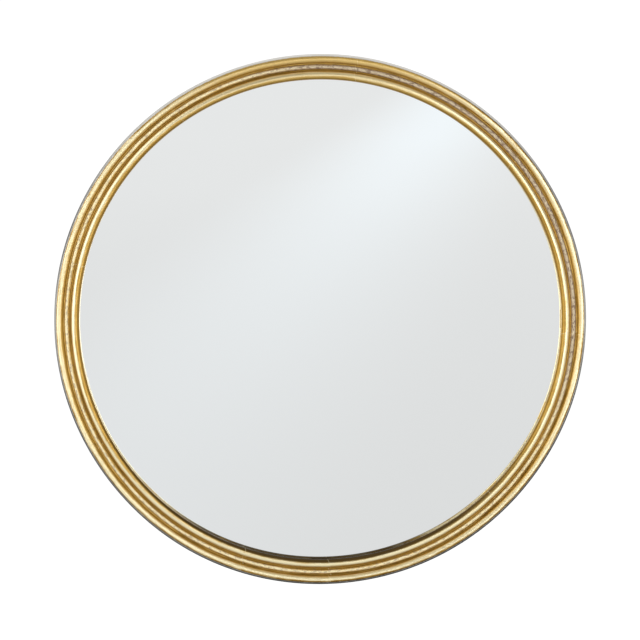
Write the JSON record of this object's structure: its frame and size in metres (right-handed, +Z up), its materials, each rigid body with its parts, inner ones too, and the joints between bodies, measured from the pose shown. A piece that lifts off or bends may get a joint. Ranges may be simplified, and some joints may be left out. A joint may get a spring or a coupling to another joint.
{
  "type": "round wall mirror",
  "caption": "Round wall mirror in a gilt iron frame of stepped round reeds, with recessed silvered glass, a board held by turn buttons and D-ring hangers behind.",
  "frame": {"origin": "the mirror's centre, on the plane of the wall that its bumpers rest on", "axes": "+Z up the wall, +Y from the viewer into the wall so that the glass faces -Y, +X to the viewer's right"},
  "size_m": [0.7999, 0.039, 0.8],
  "materials": {
    "gold_leaf": "burnished imitation gold leaf on iron bar",
    "rubbed_leaf": "gold leaf rubbed to a mottled silver and brown",
    "brown_iron": "brown-black lacquer on iron",
    "silvered_glass": "polished",
    "black_rubber": "matt",
    "grey_rubber": "matt",
    "foam": "closed-cell foam",
    "black_board": "fibreboard, painted black",
    "zinc_steel": "zinc-plated"
  },
  "bodies": {
    "frame": {"outer_reed": "gold_leaf", "inner_reed": "gold_leaf", "middle_reed": "rubbed_leaf", "valley_seams": "gold_leaf", "mirror_glass": "silvered_glass", "back_ring": "brown_iron", "rebate_hoop": "brown_iron", "button_lugs": "brown_iron", "reed_welds": "brown_iron", "hoop_welds": "brown_iron", "glazing_tape": "black_rubber", "setting_blocks": "black_rubber", "wall_bumpers": "grey_rubber", "foam_sheet": "foam", "back_board": "black_board", "pivot_washers": "zinc_steel", "pivot_screws": "zinc_steel", "hanger_screws": "zinc_steel", "hanger_strap_left": "zinc_steel", "hanger_strap_right": "zinc_steel"},
    "button_1": {"turn_button_1": "zinc_steel"},
    "button_2": {"turn_button_2": "zinc_steel"},
    "button_3": {"turn_button_3": "zinc_steel"},
    "button_4": {"turn_button_4": "zinc_steel"},
    "button_5": {"turn_button_5": "zinc_steel"},
    "button_6": {"turn_button_6": "zinc_steel"},
    "d_ring_left": {"hanger_ring_left": "zinc_steel"},
    "d_ring_right": {"hanger_ring_right": "zinc_steel"}
  },
  "joints": [
    {"name": "turn_button_1_swivel", "type": "hinge", "parent": "frame", "child": "button_1", "pos_m": [0.3868, -0.0049, 0], "axis": [0, 1, 0], "continuous": true},
    {"name": "turn_button_2_swivel", "type": "hinge", "parent": "frame", "child": "button_2", "pos_m": [0.1934, -0.0049, 0.33498], "axis": [0, 1, 0], "continuous": true},
    {"name": "turn_button_3_swivel", "type": "hinge", "parent": "frame", "child": "button_3", "pos_m": [-0.1934, -0.0049, 0.33498], "axis": [0, 1, 0], "continuous": true},
    {"name": "turn_button_4_swivel", "type": "hinge", "parent": "frame", "child": "button_4", "pos_m": [-0.3868, -0.0049, 0], "axis": [0, 1, 0], "continuous": true},
    {"name": "turn_button_5_swivel", "type": "hinge", "parent": "frame", "child": "button_5", "pos_m": [-0.1934, -0.0049, -0.33498], "axis": [0, 1, 0], "continuous": true},
    {"name": "turn_button_6_swivel", "type": "hinge", "parent": "frame", "child": "button_6", "pos_m": [0.1934, -0.0049, -0.33498], "axis": [0, 1, 0], "continuous": true},
    {"name": "hanger_ring_left_swing", "type": "hinge", "parent": "frame", "child": "d_ring_left", "pos_m": [-0.1883, -0.00322, 0.15], "axis": [1, 0, 0], "range_deg": [0, 180]},
    {"name": "hanger_ring_right_swing", "type": "hinge", "parent": "frame", "child": "d_ring_right", "pos_m": [0.1883, -0.00322, 0.15], "axis": [1, 0, 0], "range_deg": [0, 180]}
  ]
}
